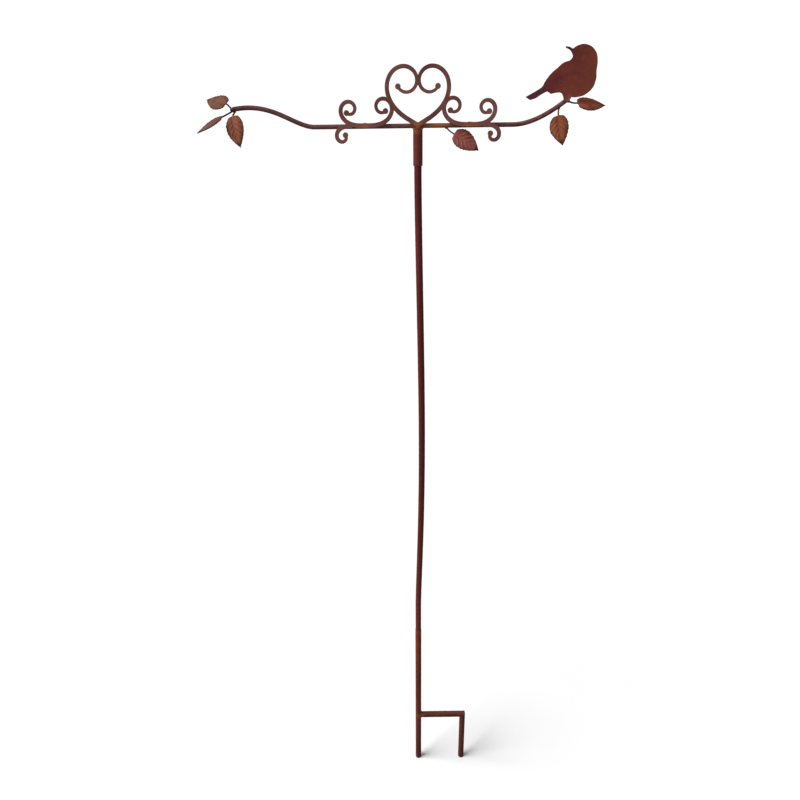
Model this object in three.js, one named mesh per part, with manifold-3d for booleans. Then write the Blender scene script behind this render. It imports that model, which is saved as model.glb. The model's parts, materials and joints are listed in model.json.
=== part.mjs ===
// A rusted steel garden stake in three lengths that plug together: a two-legged foot, a long tube
// and a head with a branch, a bird, leaves and scrollwork.
// Millimetres. +Z is up and the front faces -Y. The origin is on the post's axis, level with the leg tips.
import * as THREE from 'three';
import { mergeVertices } from 'three/addons/utils/BufferGeometryUtils.js';
import Module from 'manifold-3d';

const wasm = await Module();
wasm.setup();

// Clearances
const seatGap = 0.3;
const slideClearance = 0.3;

// Post tube, slightly bowed between its straight ends
const postTubeDiameter = 12;
const postTubeWall = 1.2;
const postTubeLength = 1005;
const postTubeBow = 7;
const postBowSkew = 0.35;
const postBowEase = 1.3;
const straightMargin = 12;

// Foot: an upright with a step bar and a second leg, all of one tube stock
const footTubeWall = 1.7;
const footHeight = 393;
const stepHeight = 138;
const legSpacing = 102;

// Spigot that joins the post to the foot
const spigotInFoot = 55;
const spigotInPost = 55;
const spigotChamfer = 1.5;

// Sleeve under the branch
const sleeveWall = 1.2;
const sleeveLength = 55;

// Branch: a round bar, straight over the post, with an arm bent up at each end
const branchDiameter = 7;
const leftArmStart = 160;
const leftArmEase = 33;
const leftArmReach = 286;
const leftArmRise = 26.2;
const leftArmCrest = 38.4;
const leftArmCrestRun = 63;
const rightArmStart = 148;
const rightArmEase = 28;
const rightArmReach = 229.5;
const rightArmRise = 34.5;
const rightArmEndRun = 24.5;
const rightArmEndClimb = 18.5;

// Plates cut from sheet: the bird and the scrollwork stand against the front of the branch
const plateThickness = 2.5;
const scrollWidth = 7;
const scrollTipWidth = 4.6;
const scrollEndDiameter = 8.6;
const scrollSeat = 1;
const scrollOverlap = 2.4;
const heartSpread = 51;
const heartHeading = 28;
const heartTurns = 1.1;
const innerScrollSpread = 30;
const outerScrollSpread = 27;
const sideScrollTurns = 1.12;
const tendrilSpread = 18;
const tendrilRun = 20;
const tendrilTurns = 0.85;

// Leaves of thin stamped sheet on wire stems
const leafLength = 47;
const leafWidth = 30;
const leafThickness = 1;
const leafBaseWidth = 2.8;
const leafTipWidth = 0.9;
const leafWidest = 0.36;
const leafTaper = 0.95;
const leafTipSharpness = 24;
const leafLobe = 1.6;
const leafTeeth = 9;
const leafToothDepth = 0.8;
const leafCup = 1.6;
const leafMarginDrop = 1.2;
const leafCurl = 5;
const stemDiameter = 2.5;
const stemEase = 0.42;
const pairReach = 2.6;

// Weld beads
const footBeadDiameter = 2;
const stemBeadDiameter = 5;
const sleeveBead = { length: 6, width: 6.4, height: 5 };
const plateBead = { length: 9, width: 5, height: 5 };

// Number of flat sides on round pieces
const tubeSides = 20;
const barSides = 16;
const wireSides = 8;
const bowSteps = 12;
const armSteps = 11;
const stemSteps = 6;
const beadSides = 5;
const scrollSteps = 19;
const tendrilSteps = 12;
const scrollEndSides = 12;
const birdCurveSteps = 3;

// Sizes that follow from the ones above
const postBore = postTubeDiameter - 2 * postTubeWall;
const spigotDiameter = postBore - 2 * slideClearance;
const footBore = spigotDiameter + 2 * seatGap;
const footTubeDiameter = footBore + 2 * footTubeWall;
const sleeveBore = postTubeDiameter + 2 * slideClearance;
const sleeveDiameter = sleeveBore + 2 * sleeveWall;
const branchRadius = branchDiameter / 2;
const stemRadius = stemDiameter / 2;
const postBottom = footHeight + seatGap;
const postTop = postBottom + postTubeLength;
const branchHeight = postTop + seatGap + branchRadius;
const plateBack = -(branchRadius + seatGap);

const rust = {
  tube: { color: 0x54231f, roughness: 0.78, metalness: 0.35 },
  foot: { color: 0x4e2620, roughness: 0.8, metalness: 0.35 },
  bar: { color: 0x5a2a28, roughness: 0.75, metalness: 0.35 },
  plate: { color: 0x5f2b28, roughness: 0.8, metalness: 0.3 },
  leaf: { color: 0x7d4029, roughness: 0.8, metalness: 0.25 },
  bead: { color: 0x8a4a24, roughness: 0.9, metalness: 0.2 },
  inner: { color: 0x6b6259, roughness: 0.5, metalness: 0.7 },
};

const stake = new THREE.Group();
const head = new THREE.Group();
head.position.z = branchHeight;
stake.add(head);

function addPiece(parent, name, geometry, finish) {
  const mesh = new THREE.Mesh(geometry, new THREE.MeshStandardMaterial(finish));
  mesh.name = name;
  parent.add(mesh);
  return mesh;
}

function toSolid(geometry) {
  const bare = geometry.clone();
  bare.deleteAttribute('normal');
  bare.deleteAttribute('uv');
  const merged = mergeVertices(bare, 1e-4);
  const vertProperties = new Float32Array(merged.attributes.position.array);
  const triVerts = new Uint32Array(merged.index.array);
  return new wasm.Manifold(new wasm.Mesh({ numProp: 3, vertProperties, triVerts }));
}

function fromSolid(solid) {
  const mesh = solid.getMesh();
  const geometry = new THREE.BufferGeometry();
  geometry.setAttribute('position', new THREE.BufferAttribute(new Float32Array(mesh.vertProperties), 3));
  geometry.setIndex(new THREE.BufferAttribute(new Uint32Array(mesh.triVerts), 1));
  geometry.computeVertexNormals();
  return geometry;
}

function cut(geometry, ...cutters) {
  const solid = cutters.reduce((left, cutter) => left.subtract(toSolid(cutter)), toSolid(geometry));
  return fromSolid(solid);
}

function fromTriangles(points, triangles) {
  const geometry = new THREE.BufferGeometry();
  geometry.setAttribute('position', new THREE.Float32BufferAttribute(points.flatMap((p) => p.toArray()), 3));
  geometry.setIndex(triangles);
  geometry.computeVertexNormals();
  return geometry;
}

// Rings of points round a path. The ring is carried along the path without twisting.
function ringsAlong(path, radius, sides) {
  const side = new THREE.Vector3();
  return path.map((centre, i) => {
    const before = path[Math.max(i - 1, 0)];
    const after = path[Math.min(i + 1, path.length - 1)];
    const along = after.clone().sub(before).normalize();
    if (i === 0) {
      side.set(0, 1, 0);
      if (Math.abs(along.y) > 0.9) side.set(1, 0, 0);
    }
    side.addScaledVector(along, -side.dot(along)).normalize();
    const other = along.clone().cross(side);
    return Array.from({ length: sides }, (_, k) => {
      const angle = (2 * Math.PI * k) / sides;
      const across = side.clone().multiplyScalar(Math.cos(angle) * radius);
      return across.addScaledVector(other, Math.sin(angle) * radius).add(centre);
    });
  });
}

function wallTriangles(ringCount, sides, first, inward) {
  const triangles = [];
  for (let i = 0; i + 1 < ringCount; i += 1) {
    for (let k = 0; k < sides; k += 1) {
      const a = first + i * sides + k;
      const b = first + i * sides + ((k + 1) % sides);
      const c = b + sides;
      const d = a + sides;
      triangles.push(...(inward ? [a, c, b, a, d, c] : [a, b, c, a, c, d]));
    }
  }
  return triangles;
}

// A solid round rod along a path
function rod(path, radius, sides) {
  const points = ringsAlong(path, radius, sides).flat();
  const triangles = wallTriangles(path.length, sides, 0, false);
  const startCentre = points.push(path[0].clone()) - 1;
  const endCentre = points.push(path[path.length - 1].clone()) - 1;
  const lastRing = (path.length - 1) * sides;
  for (let k = 0; k < sides; k += 1) {
    const next = (k + 1) % sides;
    triangles.push(startCentre, next, k);
    triangles.push(endCentre, lastRing + k, lastRing + next);
  }
  return fromTriangles(points, triangles);
}

// A round tube along a path, open at both ends
function pipe(path, outerRadius, innerRadius, sides) {
  const outer = ringsAlong(path, outerRadius, sides).flat();
  const inner = ringsAlong(path, innerRadius, sides).flat();
  const first = outer.length;
  const triangles = wallTriangles(path.length, sides, 0, false);
  triangles.push(...wallTriangles(path.length, sides, first, true));
  const lastRing = (path.length - 1) * sides;
  for (let k = 0; k < sides; k += 1) {
    const next = (k + 1) % sides;
    triangles.push(k, first + k, next, next, first + k, first + next);
    const a = lastRing + k;
    const b = lastRing + next;
    triangles.push(a, b, first + a, b, first + b, first + a);
  }
  return fromTriangles([...outer, ...inner], triangles);
}

function vertical(x, from, to) {
  return [new THREE.Vector3(x, 0, from), new THREE.Vector3(x, 0, to)];
}

// Foot
const footRadius = footTubeDiameter / 2;
const footBoreRadius = footBore / 2;

// A block that takes away everything past the mitre, on the side of the step bar (1) or of the prong (-1)
function mitreBlock(side) {
  const size = 4 * footTubeDiameter;
  const block = new THREE.BoxGeometry(size, size, size);
  block.translate(0, 0, (side * (size - seatGap)) / 2);
  block.rotateY((3 * Math.PI) / 4);
  block.translate(legSpacing, 0, stepHeight);
  return block;
}

function ringBead(radius, beadRadius) {
  return new THREE.TorusGeometry(radius + seatGap + beadRadius, beadRadius, beadSides, tubeSides);
}

function buildFoot() {
  const upright = pipe(vertical(0, 0, footHeight), footRadius, footBoreRadius, tubeSides);
  addPiece(stake, 'foot_upright', upright, rust.foot);

  const spigotTop = footHeight + spigotInPost;
  const spigotRadius = spigotDiameter / 2;
  const profile = [
    new THREE.Vector2(0, footHeight - spigotInFoot),
    new THREE.Vector2(spigotRadius, footHeight - spigotInFoot),
    new THREE.Vector2(spigotRadius, spigotTop - spigotChamfer),
    new THREE.Vector2(spigotRadius - spigotChamfer, spigotTop),
    new THREE.Vector2(0, spigotTop),
  ];
  const spigot = new THREE.LatheGeometry(profile, tubeSides);
  spigot.rotateX(Math.PI / 2);
  addPiece(stake, 'joining_spigot', spigot, rust.inner);

  const stepStart = new THREE.Vector3(0, 0, stepHeight);
  const stepEnd = new THREE.Vector3(legSpacing + footTubeDiameter, 0, stepHeight);
  const step = pipe([stepStart, stepEnd], footRadius, footBoreRadius, tubeSides);
  const uprightSpace = rod(vertical(0, 0, footHeight), footRadius + seatGap, tubeSides);
  addPiece(stake, 'step_bar', cut(step, uprightSpace, mitreBlock(1)), rust.foot);

  const prongLine = vertical(legSpacing, 0, stepHeight + footTubeDiameter);
  const prong = pipe(prongLine, footRadius, footBoreRadius, tubeSides);
  addPiece(stake, 'ground_prong', cut(prong, mitreBlock(-1)), rust.foot);

  const beadRadius = footBeadDiameter / 2;
  const stepBead = ringBead(footRadius, beadRadius);
  stepBead.rotateY(Math.PI / 2);
  stepBead.translate(footRadius + seatGap, 0, stepHeight);
  addPiece(stake, 'weld_step_bar', cut(stepBead, uprightSpace), rust.bead);

  const cornerBead = ringBead(footRadius, beadRadius);
  cornerBead.scale(Math.SQRT2, 1, 1);
  cornerBead.rotateY(-Math.PI / 4);
  cornerBead.translate(legSpacing, 0, stepHeight);
  addPiece(stake, 'weld_prong_corner', cornerBead, rust.bead);
}

// Post: straight over the spigot and inside the sleeve, bowed to +X between them and most of all low down
function buildPost() {
  const bowStart = postBottom + spigotInPost + straightMargin;
  const bowEnd = postTop - sleeveLength - straightMargin;
  const path = vertical(0, postBottom, bowStart);
  for (let i = 1; i < bowSteps; i += 1) {
    const along = i / bowSteps;
    const skewed = (along * (1 + postBowSkew)) / (1 + along * postBowSkew);
    const swing = postTubeBow * Math.sin(Math.PI * skewed) ** postBowEase;
    path.push(new THREE.Vector3(swing, 0, THREE.MathUtils.lerp(bowStart, bowEnd, along)));
  }
  path.push(...vertical(0, bowEnd, postTop));
  addPiece(stake, 'post_tube', pipe(path, postTubeDiameter / 2, postBore / 2, tubeSides), rust.tube);
}

// Head. Its group stands at the height of the branch's axis, so z = 0 below is that axis.
const inPlane = (x, z) => new THREE.Vector3(x, 0, z);

const leftArm = new THREE.CubicBezierCurve3(
  inPlane(-leftArmStart, 0),
  inPlane(-(leftArmStart + leftArmEase), 0),
  inPlane(-(leftArmReach - leftArmCrestRun), leftArmCrest),
  inPlane(-leftArmReach, leftArmRise),
);
const rightArm = new THREE.CubicBezierCurve3(
  inPlane(rightArmStart, 0),
  inPlane(rightArmStart + rightArmEase, 0),
  inPlane(rightArmReach - rightArmEndRun, rightArmRise - rightArmEndClimb),
  inPlane(rightArmReach, rightArmRise),
);
const branchPath = [...leftArm.getPoints(armSteps).reverse(), ...rightArm.getPoints(armSteps)];
const branchSpace = rod(branchPath, branchRadius + seatGap, barSides);
const sleeveTop = -(branchRadius + seatGap);

function bead(size) {
  const ball = new THREE.SphereGeometry(0.5, 2 * beadSides, beadSides);
  ball.scale(size.length, size.width, size.height);
  return ball;
}

function buildBranch() {
  addPiece(head, 'branch_bar', rod(branchPath, branchRadius, barSides), rust.bar);
  const sleeveRadius = sleeveDiameter / 2;
  const sleeveLine = vertical(0, sleeveTop - sleeveLength, sleeveTop);
  const sleeve = pipe(sleeveLine, sleeveRadius, sleeveBore / 2, tubeSides);
  addPiece(head, 'head_sleeve', sleeve, rust.tube);

  const sleeveReach = vertical(0, -sleeveLength, sleeveTop + seatGap);
  const sleeveSpace = rod(sleeveReach, sleeveRadius + seatGap, tubeSides);
  for (const [name, side] of [['weld_sleeve_left', -1], ['weld_sleeve_right', 1]]) {
    const drop = bead(sleeveBead);
    drop.translate(side * sleeveRadius, 0, sleeveTop);
    addPiece(head, name, cut(drop, sleeveSpace, branchSpace), rust.bead);
  }
}

// Bird: a sheet outline that looks back over its tail, measured from the tip of the right arm
const beakTip = [-9.8, 71.9];
const beakRidge = [-3.6, 70.9];
const beakEnd = [-9.4, 69.7];
const crownAndBreast = [[1, 68.6], [8.5, 73], [18.3, 74.6], [29, 71], [37, 62.5], [39.8, 51], [39.4, 38]];
const breastAndBelly = [[40, 28], [36, 15.5], [25, 6], [13, 2.8], [5, 3]];
const perchFoot = [[1.5, -3], [-6, -3.4]];
const vent = [[-8.2, 5], [-12, 9.2], [-19, 9.2], [-27, 7.8]];
const ventNotch = [[-29.6, 9.8], [-33, 11.3]];
const tailUnderside = [[-42, 6.8], [-50, 2], [-58, -0.4]];
const tailTip = [-65.4, 4];
const tail = [[-51, 11.6], [-41.2, 17.6]];
const back = [[-36.8, 25.2], [-29.2, 35.3], [-20, 43.1], [-11, 50.2], [-2, 53]];
const throat = [[1.8, 57.5], [0.4, 62.6], [-3.6, 67.1]];

function buildBird() {
  const outline = new THREE.Shape();
  const curveThrough = (pairs) => outline.splineThru(pairs.map(([x, z]) => new THREE.Vector2(x, z)));
  outline.moveTo(...beakTip);
  outline.lineTo(...beakRidge);
  outline.lineTo(...crownAndBreast[0]);
  curveThrough([...crownAndBreast.slice(1), ...breastAndBelly]);
  perchFoot.forEach((point) => outline.lineTo(...point));
  curveThrough(vent);
  ventNotch.forEach((point) => outline.lineTo(...point));
  curveThrough(tailUnderside);
  outline.lineTo(...tailTip);
  curveThrough([...tail, ...back]);
  curveThrough([...throat, beakEnd]);
  const settings = { depth: plateThickness, bevelEnabled: false, curveSegments: birdCurveSteps };
  const bird = addPiece(head, 'bird_plate', new THREE.ExtrudeGeometry(outline, settings), rust.plate);
  bird.rotation.x = Math.PI / 2;
  bird.position.set(rightArmReach, plateBack, rightArmRise);

  const drop = bead(plateBead);
  drop.rotateY(-Math.atan2(rightArmEndClimb, rightArmEndRun));
  drop.translate(rightArmReach - plateBead.length / 2, plateBack, rightArmRise);
  addPiece(head, 'weld_bird_foot', cut(drop, branchSpace, plateSpace()), rust.bead);
}

// Everything in front of the plates' back faces
function plateSpace() {
  const size = leftArmReach + rightArmReach;
  const block = new THREE.BoxGeometry(2 * size, size, size);
  block.translate(0, plateBack + seatGap - size / 2, 0);
  return block;
}

// Scrollwork. A volute starts straight and its bend grows evenly along its length.
function volute(start, heading, spread, turns, steps) {
  const turn = 2 * Math.PI * turns;
  const length = spread * Math.sqrt(2 * Math.abs(turn));
  const fineSteps = 10;
  const point = start.clone();
  const points = [start.clone()];
  let travelled = 0;
  for (let i = 1; i <= steps; i += 1) {
    const end = length * Math.sqrt(i / steps);
    const stride = (end - travelled) / fineSteps;
    for (let k = 0; k < fineSteps; k += 1) {
      const middle = (travelled + (k + 0.5) * stride) / length;
      const angle = heading + turn * middle * middle;
      point.add(new THREE.Vector2(Math.cos(angle), Math.sin(angle)).multiplyScalar(stride));
    }
    travelled = end;
    points.push(point.clone());
  }
  return points;
}

// A flat strip along a centre line, narrowing from the widest point to its ends
function strip(centre, widest) {
  const left = [];
  const right = [];
  centre.forEach((point, i) => {
    const before = centre[Math.max(i - 1, 0)];
    const after = centre[Math.min(i + 1, centre.length - 1)];
    const across = after.clone().sub(before).normalize();
    across.set(-across.y, across.x);
    const share = Math.abs(i - widest) / (i < widest ? widest : centre.length - 1 - widest);
    const half = THREE.MathUtils.lerp(scrollWidth, scrollTipWidth, share) / 2;
    left.push(point.clone().addScaledVector(across, half));
    right.push(point.clone().addScaledVector(across, -half));
  });
  const shape = new THREE.Shape([...left, ...right.reverse()]);
  return new THREE.ExtrudeGeometry(shape, { depth: plateThickness, bevelEnabled: false });
}

function roundEnd(point) {
  const radius = scrollEndDiameter / 2;
  const disc = new THREE.CylinderGeometry(radius, radius, plateThickness, scrollEndSides);
  disc.rotateX(Math.PI / 2);
  disc.translate(point.x, point.y, plateThickness / 2);
  return disc;
}

const plateFoot = new THREE.Vector2(0, scrollSeat);
const heart = volute(plateFoot, THREE.MathUtils.degToRad(heartHeading), heartSpread, heartTurns, scrollSteps);

// The side scroll leans against the heart where its inner volute reaches furthest, after a quarter turn
const innerReach = volute(new THREE.Vector2(), 0, innerScrollSpread, 0.25, scrollSteps).at(-1);
const leanHeight = scrollSeat + innerReach.y;
const leanX = heart.find((point) => point.y > leanHeight).x;
const sideScrollMid = new THREE.Vector2(
  leanX + scrollWidth - scrollOverlap + innerReach.x,
  scrollSeat,
);

// One half of the scrollwork, on the left (-1) or on the right (1) of the post
function scrollHalf(hand) {
  const side = [
    ...volute(sideScrollMid, Math.PI, innerScrollSpread, -sideScrollTurns, scrollSteps).reverse(),
    ...volute(sideScrollMid, 0, outerScrollSpread, sideScrollTurns, scrollSteps).slice(1),
  ];
  const tendrilFoot = sideScrollMid.clone().add(new THREE.Vector2(tendrilRun, 0));
  const tendril = volute(tendrilFoot, 0, tendrilSpread, -tendrilTurns, tendrilSteps);
  const onThisHand = (points) => points.map((point) => new THREE.Vector2(hand * point.x, point.y));
  const [heartLine, sideLine, tendrilLine] = [heart, side, tendril].map(onThisHand);
  const ends = [heartLine.at(-1), sideLine[0], sideLine.at(-1), tendrilLine.at(-1)];
  const strips = [strip(heartLine, 0), strip(sideLine, scrollSteps), strip(tendrilLine, 0)];
  return [...strips, ...ends.map(roundEnd)];
}

function buildScrolls() {
  const pieces = [...scrollHalf(-1), ...scrollHalf(1), roundEnd(plateFoot)].map(toSolid);
  const plate = pieces.reduce((left, right) => left.add(right));
  const scrolls = addPiece(head, 'scroll_plate', fromSolid(plate), rust.plate);
  scrolls.rotation.x = Math.PI / 2;
  scrolls.position.y = plateBack;

  const beadPlaces = { left: -sideScrollMid.x, middle: 0, right: sideScrollMid.x };
  for (const [place, x] of Object.entries(beadPlaces)) {
    const drop = bead(plateBead);
    drop.translate(x, plateBack, branchRadius);
    addPiece(head, `weld_scroll_${place}`, cut(drop, branchSpace, plateSpace()), rust.bead);
  }
}

// Share of a leaf's half width at a share of its length: round at the base, drawn out to a fine tip
function leafSwell(along) {
  if (along < leafWidest) return Math.sqrt(1 - (1 - along / leafWidest) ** 2);
  const past = ((along - leafWidest) / (1 - leafWidest)) ** leafTaper;
  return Math.cos((Math.PI / 2) * past) * (1 - along ** leafTipSharpness);
}

// Leaf: base at the origin, tip along +X, front towards +Z. sweep bows the midrib sideways.
function leafGeometry(sweep) {
  const stations = 2 * leafTeeth;
  const rows = [-1, -0.5, 0, 0.5, 1];
  const front = [];
  const back = [];
  for (let i = 0; i <= stations; i += 1) {
    const along = i / stations;
    const swell = leafSwell(along);
    const lobe = i === 0 ? 0 : leafLobe * (1 - along) ** 4;
    const tooth = i % 2 === 1 ? leafToothDepth : 0;
    const ends = THREE.MathUtils.lerp(leafBaseWidth, leafTipWidth, along) / 2;
    const half = ends + (leafWidth / 2 - ends - leafToothDepth) * swell + tooth * swell;
    const aside = sweep * 4 * along * (1 - along);
    rows.forEach((row) => {
      const bulge = leafCup * Math.sin(Math.PI * Math.abs(row)) - leafMarginDrop * row * row;
      const height = bulge * swell - leafCurl * along * along;
      const spot = new THREE.Vector3(leafLength * along - lobe * row * row, aside + half * row, height);
      front.push(spot.clone().setZ(height + leafThickness / 2));
      back.push(spot.clone().setZ(height - leafThickness / 2));
    });
  }
  const width = rows.length;
  const under = front.length;
  const triangles = [];
  const quad = (a, b, c, d) => triangles.push(a, b, c, a, c, d);
  for (let i = 0; i < stations; i += 1) {
    for (let j = 0; j + 1 < width; j += 1) {
      const a = i * width + j;
      quad(a, a + width, a + width + 1, a + 1);
      quad(under + a, under + a + 1, under + a + width + 1, under + a + width);
    }
    const low = i * width;
    const high = low + width - 1;
    quad(low, under + low, under + low + width, low + width);
    quad(high, high + width, under + high + width, under + high);
  }
  const last = stations * width;
  for (let j = 0; j + 1 < width; j += 1) {
    quad(j, j + 1, under + j + 1, under + j);
    quad(last + j, under + last + j, under + last + j + 1, last + j + 1);
  }
  return fromTriangles([...front, ...back], triangles);
}

// A leaf's base is measured from the root of its stem, on the axis of the branch. heading turns the leaf
// in the plane of the head, lean tips it back from the front and turn rolls it about its midrib, in degrees.
function addLeaf(name, base, { heading, lean, turn, sweep }) {
  const leaf = addPiece(head, `leaf_${name}`, leafGeometry(sweep), rust.leaf);
  leaf.position.copy(base);
  const { degToRad } = THREE.MathUtils;
  leaf.rotation.set(Math.PI / 2 + degToRad(turn), -degToRad(heading), degToRad(lean), 'YZX');
  return new THREE.Vector3(1, 0, 0).applyEuler(leaf.rotation);
}

// A wire that sets off along outward and bends over to meet the leaf along its midrib
function stemLine(lead, outward, base, midrib) {
  const end = base.clone().addScaledVector(midrib, -seatGap);
  const near = end.clone().addScaledVector(midrib, -stemRadius / 2);
  const ease = stemEase * lead.distanceTo(near);
  const bend = new THREE.CubicBezierCurve3(
    lead,
    lead.clone().addScaledVector(outward, ease),
    near.clone().addScaledVector(midrib, -ease),
    near,
  );
  return [...bend.getPoints(stemSteps), end];
}

function addStem(name, path, weldCentre) {
  addPiece(head, `stem_${name}`, rod(path, stemRadius, wireSides), rust.bar);
  const drop = bead({ length: stemBeadDiameter, width: stemBeadDiameter, height: stemBeadDiameter });
  drop.translate(...weldCentre.toArray());
  // The wire's space runs on into the branch, so that no skin of bead closes over the wire's end
  const inside = path[0].clone().lerp(path[1], -2);
  const stemSpace = rod([inside, ...path], stemRadius + seatGap, wireSides);
  addPiece(head, `weld_stem_${name}`, cut(drop, branchSpace, stemSpace), rust.bead);
}

// Leaves whose stem stands on the side of the branch
const onArm = (arm, along, outward) => ({ root: arm.getPoint(along), along: arm.getTangent(along), outward });
const onStraight = (x, outward) => ({ root: inPlane(x, 0), along: inPlane(1, 0), outward });
const singleLeaves = [
  { name: 'left_hanging', ...onArm(leftArm, 0.985, inPlane(0, -1)), offset: inPlane(-2.7, -9.4),
    heading: -80, lean: -18, turn: 10, sweep: -1.6 },
  { name: 'middle', ...onStraight(41.9, inPlane(0.66, -0.75)), offset: inPlane(14.8, -12.5),
    heading: -31, lean: 0, turn: -10, sweep: 1.2 },
  { name: 'right_hanging', ...onArm(rightArm, 0.84, inPlane(0, -1)), offset: inPlane(0.6, -13.8),
    heading: -83, lean: -30, turn: 8, sweep: -1.6 },
  { name: 'right_end', ...onArm(rightArm, 0.985, inPlane(0.9, -0.44)), offset: inPlane(17.8, -4.4),
    heading: 0, lean: 10, turn: -50, sweep: 0 },
];

// Distance from the branch's axis at which the stem's cut end clears the branch
function stemSetOff(outward, along) {
  const slant = Math.abs(outward.dot(along));
  return (branchRadius + seatGap + stemRadius * slant) / Math.sqrt(1 - slant * slant);
}

function buildSingleLeaf({ name, root, along, outward, offset, ...pose }) {
  const out = outward.clone().normalize();
  const base = root.clone().add(offset);
  const midrib = addLeaf(name, base, pose);
  const start = root.clone().addScaledVector(out, stemSetOff(out, along));
  const lead = start.clone().addScaledVector(out, stemRadius / 2);
  const weldCentre = start.clone().addScaledVector(out, -stemRadius / 2);
  addStem(name, [start, ...stemLine(lead, out, base, midrib)], weldCentre);
}

// Two leaves share one wire, which is bent across the left tip of the branch
const pairedLeaves = [
  { name: 'left_upper', offset: inPlane(-8.8, 8.4), heading: 165, lean: 34, turn: 39, sweep: 0 },
  { name: 'left_lower', offset: inPlane(-17.6, -10.4), heading: 203, lean: 0, turn: 70, sweep: 0 },
];

function buildLeafPair() {
  const tip = leftArm.getPoint(1);
  const ahead = leftArm.getTangent(1);
  const crossing = tip.clone().addScaledVector(ahead, seatGap + stemRadius);
  const [upperLine, lowerLine] = pairedLeaves.map(({ name, offset, ...pose }, i) => {
    const base = tip.clone().add(offset);
    const midrib = addLeaf(name, base, pose);
    const sideways = inPlane(ahead.z, -ahead.x).multiplyScalar(i === 0 ? pairReach : -pairReach);
    const bend = crossing.clone().add(sideways);
    return stemLine(bend, base.clone().sub(bend).normalize(), base, midrib);
  });
  addStem('left_pair', [...upperLine.reverse(), crossing, ...lowerLine], crossing);
}

buildFoot();
buildPost();
buildBranch();
buildBird();
buildScrolls();
singleLeaves.forEach(buildSingleLeaf);
buildLeafPair();

export default stake;
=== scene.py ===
import json
import math
from collections import namedtuple

import bmesh
import bpy
from mathutils import Matrix, Vector, geometry, noise

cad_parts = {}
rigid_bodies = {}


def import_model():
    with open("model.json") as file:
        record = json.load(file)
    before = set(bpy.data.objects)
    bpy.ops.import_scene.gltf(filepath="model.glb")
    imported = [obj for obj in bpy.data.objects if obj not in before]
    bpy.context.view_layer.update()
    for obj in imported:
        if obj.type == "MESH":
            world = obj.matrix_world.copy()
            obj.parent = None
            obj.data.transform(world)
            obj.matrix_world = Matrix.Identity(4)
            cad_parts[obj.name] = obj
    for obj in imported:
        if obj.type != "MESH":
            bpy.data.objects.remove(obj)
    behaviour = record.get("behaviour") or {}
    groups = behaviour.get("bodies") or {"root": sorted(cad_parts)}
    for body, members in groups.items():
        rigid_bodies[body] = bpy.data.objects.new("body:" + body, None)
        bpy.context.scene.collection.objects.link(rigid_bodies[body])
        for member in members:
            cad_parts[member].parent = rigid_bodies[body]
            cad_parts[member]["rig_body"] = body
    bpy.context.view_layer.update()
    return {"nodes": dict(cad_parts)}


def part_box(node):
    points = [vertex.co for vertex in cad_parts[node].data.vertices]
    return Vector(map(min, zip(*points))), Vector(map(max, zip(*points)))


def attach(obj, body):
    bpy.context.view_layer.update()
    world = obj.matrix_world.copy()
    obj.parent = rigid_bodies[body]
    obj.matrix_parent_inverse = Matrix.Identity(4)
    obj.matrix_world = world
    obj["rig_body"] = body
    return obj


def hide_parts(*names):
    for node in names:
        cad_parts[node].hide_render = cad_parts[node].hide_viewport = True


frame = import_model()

MM = 0.001


def solid_box(node):
    """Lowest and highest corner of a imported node, in millimetres."""
    low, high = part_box(node)
    return low / MM, high / MM


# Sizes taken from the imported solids
foot_low, foot_high = solid_box("foot_upright")
step_low, step_high = solid_box("step_bar")
prong_low, prong_high = solid_box("ground_prong")
post_low, post_high = solid_box("post_tube")
sleeve_low, sleeve_high = solid_box("head_sleeve")
bar_low, bar_high = solid_box("branch_bar")
bird_low, bird_high = solid_box("bird_plate")
side_weld_low, side_weld_high = solid_box("weld_scroll_right")

FOOT_RADIUS = foot_high.y
LEG_SPACING = (prong_low.x + prong_high.x) / 2
STEP_HEIGHT = (step_low.z + step_high.z) / 2
POST_RADIUS = post_high.y
SLEEVE_RADIUS = sleeve_high.y
BRANCH_RADIUS = bar_high.y
BRANCH_AXIS = bar_low.z + BRANCH_RADIUS
PLATE_BACK = bird_high.y
PLATE_THICKNESS = bird_high.y - bird_low.y
SIDE_SCROLL_X = (side_weld_low.x + side_weld_high.x) / 2
PLATE_WELD_X = (-SIDE_SCROLL_X, 0, SIDE_SCROLL_X)

# Tubes
SEAT_GAP = 0.3
FOOT_BORE_RADIUS = 4.8
POST_BORE_RADIUS = 4.8
SLEEVE_BORE_RADIUS = 6.3
POST_BOW = 7
POST_BOW_SKEW = 0.35
POST_BOW_EASE = 1.3
BOW_MARGIN = 67
BOW_STEPS = 60
RIM_CHAMFER = 0.35
CORNER_ROUNDING = 5
CORNER_RINGS = (7, 5, 3.5, 2.2, 1.1, 0)
TUBE_SIDES = 48
BAR_SIDES = 32
WIRE_SIDES = 20

# Branch arms: four control points each, x and z from the middle of the branch
LEFT_ARM = ((-160, 0), (-193, 0), (-223, 38.4), (-286, 26.2))
RIGHT_ARM = ((148, 0), (176, 0), (205, 16), (229.5, 34.5))
ARM_STEPS = 44
BAR_END_CHAMFER = 0.8

# Scrollwork
SCROLL_WIDTH = 7
SCROLL_TIP_WIDTH = 4.6
SCROLL_END_RADIUS = 4.3
SCROLL_SEAT = 1
HEART_SPREAD = 51
HEART_HEADING = 28
HEART_TURNS = 1.1
INNER_SCROLL_SPREAD = 30
OUTER_SCROLL_SPREAD = 27
SIDE_SCROLL_TURNS = 1.12
TENDRIL_SPREAD = 18
TENDRIL_RUN = 20
TENDRIL_TURNS = 0.85
SCROLL_STEPS = 80
SCROLL_SUBSTEPS = 10
SCROLL_END_SIDES = 44

# Flat plates
PLATE_EDGE = 0.55
PLATE_CURVE_STEPS = 9
CORNER_LEAN_LEAST = 0.5
INSIDE_FACES = 1
SAME_POINT = 1e-4

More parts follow.
